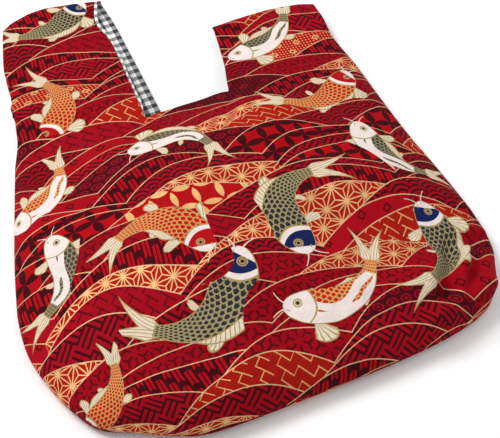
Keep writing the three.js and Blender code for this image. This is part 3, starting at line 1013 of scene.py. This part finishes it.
def koi_whiskers(put, share, side):
    """Two thin curved lines that leave the mouth."""
    before = put("-", share, 0.035)
    line = put("MULTIPLY_ADD", put("*", before, before), 7.0, 0.025)
    return put("*", put("COMPARE", side, line, INK_LINE * 0.8), put("COMPARE", share, -0.02, 0.055))


# %% [markdown]
# The body swells behind the head and runs out to the tail, under a net of scales that gets finer towards it.
# The head is plain and has an eye. The coat is a number, and ramps turn it into the colours of four koi.

# %% The koi's body
# share of the length, half the body's width as a share of the length
KOI_BODY = [(0.0, 0.0), (0.03, 0.07), (0.1, 0.115), (0.22, 0.15), (0.36, 0.158), (0.55, 0.13), (0.75, 0.09),
            (0.92, 0.052), (1.0, 0.042)]
BODY_SCALE = 5.0
CREAM, GOLD, WHITE, BLACK = "#dacbb4", "#a58c5c", "#e0d3cd", "#15151c"
# the navy, orange, grey and red coat
SCALE_FILLS = ("#2b2c30", "#b3280f", "#3f3c30", "#ae1512")
SCALE_LINES = ("#968862", "#cf9a5c", "#8b8062", "#c89154")
HEAD_FILLS = ("#15214f", "#e2d6d0", "#e2d6d0", "#a90f16")


def in_turn(put, below, *layers):
    """Lays colours over each other: layers are pairs of a mask and a colour."""
    for mask, colour in layers:
        below = put("MixRGB", mask, below, srgb(colour) if isinstance(colour, str) else colour)
    return below


def of_coat(put, coat, colours):
    """The colour that belongs to a koi's coat."""
    return steps(put, coat, [(number / len(colours), colour) for number, colour in enumerate(colours)])


def body_width(put, share):
    """Half the width of the body. Its table is scaled up, to fill the range of the curve node."""
    curve = put("FloatCurve", 1.0, share)
    points = curve.node.mapping.curves[0].points
    for place, width in KOI_BODY[1:-1]:
        points.new(place, width * BODY_SCALE)
    for end in (0, -1):
        points[end].location = (KOI_BODY[end][0], KOI_BODY[end][1] * BODY_SCALE)
    curve.node.mapping.update()
    return put("/", curve, BODY_SCALE)


def koi_scales(put, share, aside, width, rows=15.0, finer=0.6, across=3.2, bolder=0.42, stroke=0.22):
    """The net of scales: rows of arcs, each row half a scale beside the one before."""
    along = put("*", put("*", share, put("MULTIPLY_ADD", share, finer, 1.0)), rows)
    row = put("FLOOR", along)
    column = put("*", put("/", aside, put("MAXIMUM", width, 0.01)), across)
    off = put("-", put("FRACT", put("+", column, put("*", row, 0.5))), 0.5)
    arc = square_sum(put, put("*", off, 2.0), put("-", along, row))
    return put("COMPARE", arc, 1.0, put("MULTIPLY_ADD", share, bolder, stroke))


def koi_white(put, share, aside, width, coat, band=0.035, end=0.86):
    """The wavy white band and the white belly, which only the two middle coats have."""
    sway = put("*", put("SINE", put("*", share, 11.0)), band)
    on_band = put("<", put("ABSOLUTE", put("+", aside, sway)), band)
    flank = put("MULTIPLY_ADD", put("SINE", put("*", share, 24.0)), 0.014, 0.045)
    belly = put(">", aside, put("MINIMUM", flank, put("*", width, 0.55)))
    pale = put("*", put("COMPARE", coat, 0.5, 0.2), put("<", share, end))
    return put("*", put("MAXIMUM", on_band, belly), pale)


def koi_head(put, share, aside, side, coat, gill=0.27, eye=(-0.03, 0.12), rings=(0.034, 0.024, 0.013)):
    """The head's mask, its colours and the line behind its gill."""
    behind = put("-", gill, put("*", put("*", side, side), 3.0))
    far = put("SQRT", square_sum(put, *(put("-", *pair) for pair in zip((aside, share), eye))))
    eye_ring = put("COMPARE", far, rings[0], INK_LINE * 0.7)
    iris, pupil = (put("<", far, ring) for ring in rings[1:])
    mouth = put("COMPARE", put("-", aside, 0.02), put("*", share, 0.35), INK_LINE * 0.6)
    mouth = put("*", mouth, put("<", share, 0.06))
    snout = put("<", put("+", share, put("*", aside, 0.5)), 0.065)
    cheek = put("COMPARE", put("+", share, 0.028), behind, 0.026)
    face = in_turn(put, of_coat(put, coat, HEAD_FILLS), (put("MAXIMUM", snout, cheek), WHITE),
                   (eye_ring, GOLD), (iris, GOLD), (pupil, BLACK), (mouth, GOLD))
    return put("<", share, behind), face, put("COMPARE", share, behind, INK_LINE)


def koi_drawing(put):
    """The koi's own mask and its colours."""
    spot = put("Attribute", attribute_name="koi").node.outputs["Vector"]
    share, aside, near = put("SeparateXYZ", spot).node.outputs
    coat = put("Attribute", attribute_name="koi_coat").node.outputs["Fac"]
    # The four coats come out in the middle of the ramps' four steps
    coat = put("/", put("+", coat, 0.5), 4.0)
    side = put("ABSOLUTE", aside)
    width = body_width(put, share)
    on_spine = put("*", put(">", share, 0.0), put("<", share, 1.0))
    body = put("*", put("<", side, width), on_spine)
    rim = put(">", side, put("-", width, INK_LINE))
    head, face, gill_line = koi_head(put, share, aside, side, coat)
    scales = in_turn(
        put, of_coat(put, coat, SCALE_FILLS),
        (koi_scales(put, share, aside, width), of_coat(put, coat, SCALE_LINES)),
        (koi_white(put, share, aside, width, coat), WHITE), (head, face), (gill_line, GOLD), (rim, GOLD),
    )
    whiskers = koi_whiskers(put, share, side)
    limbs = [koi_fan(put, share, side, fin) for fin in FINS]
    limbs += [koi_tail(put, share, side), koi_dorsal(put, share, aside, side, width)]
    colour, mask = srgb(CREAM), put("MAXIMUM", body, whiskers)
    for limb, lines in limbs:
        colour = in_turn(put, colour, (limb, CREAM), (put("*", limb, lines), GOLD))
        mask = put("MAXIMUM", mask, limb)
    colour = in_turn(put, colour, (body, scales), (whiskers, CREAM))
    return put("*", mask, put(">", near, KOI_NEAR)), colour


# %% [markdown]
# Printed quilting cotton is matt. The gold is an ink with metal flakes, so where it lies the cloth is
# smoother and partly metallic. A slow waver bends the rows of hills a little, as hand drawing would.

# %% Printed cotton
WAVER = 24.0
WAVER_LENGTH = 95.0
TONE, TONE_MORE = 0.88, 0.2
FLAKES_PER_MM = 1.1
DULL_GOLD, BRIGHT_GOLD = "#b07f50", "#f2cda4"
GOLD_METAL = 0.3
COTTON_ROUGHNESS, GOLD_SMOOTHER = 0.88, -0.35


def make_print():
    """Plain-woven cotton with a screen-printed face: matt, with gold that glints a little."""
    material, shader = new_material("printed_cotton_with_gold_ink")
    tree = material.node_tree
    put = functools.partial(add_node, tree)
    across, along = cloth_axes(put)
    spot = put("CombineXYZ", across, along, 0.0)
    drift = put("TexNoise", spot, None, 1 / WAVER_LENGTH, 0.0)
    u, v = (put("MULTIPLY_ADD", drift, WAVER, axis) for axis in (across, along))
    outline, shares = hills(put, u, v)

    start = 0.0
    lines, grounds, inks, golds = None, [], [], []
    for portion, fill, sizes, ground, ink, is_gold in FILLS:
        mask = fill(put, u, v, *sizes)
        if lines is None:
            lines = mask
        else:
            lines = put("Mix", put(">", shares[0], start), None, lines, mask)
        grounds.append((start, ground))
        inks.append((start, ink))
        golds.append((start, "#ffffff" if is_gold else "#000000"))
        start += portion
    gold = put("MAXIMUM", put("*", lines, steps(put, shares[0], golds)), outline)
    colour = in_turn(put, steps(put, shares[0], grounds), (lines, steps(put, shares[0], inks)))
    tone = put("MULTIPLY_ADD", shares[1], TONE_MORE, TONE)
    colour = put("MixRGB", 1.0, colour, put("CombineXYZ", tone, tone, tone), blend_type="MULTIPLY")
    flakes = put("MULTIPLY_ADD", put("TexNoise", spot, None, FLAKES_PER_MM, 1.0), 0.8, 0.05)
    gold_ink = put("MixRGB", flakes, srgb(DULL_GOLD), srgb(BRIGHT_GOLD))
    koi, koi_colour = koi_drawing(put)
    colour = in_turn(put, colour, (outline, gold_ink), (koi, koi_colour))
    gold = put("*", gold, put("-", 1.0, koi))
    tree.links.new(colour, shader.inputs["Base Color"])
    tree.links.new(put("*", gold, GOLD_METAL), shader.inputs["Metallic"])
    roughness = put("MULTIPLY_ADD", gold, GOLD_SMOOTHER, COTTON_ROUGHNESS)
    tree.links.new(roughness, shader.inputs["Roughness"])
    tree.links.new(cloth_bump(put, across, along, 0.8), shader.inputs["Normal"])
    shader.inputs["Specular IOR Level"].default_value = 0.05
    print("the print has", len(tree.nodes), "nodes and", len(FILLS), "fills")
    return material


print_material = make_print()
for piece in (front_cloth, back_cloth):
    piece.data.materials.append(print_material)
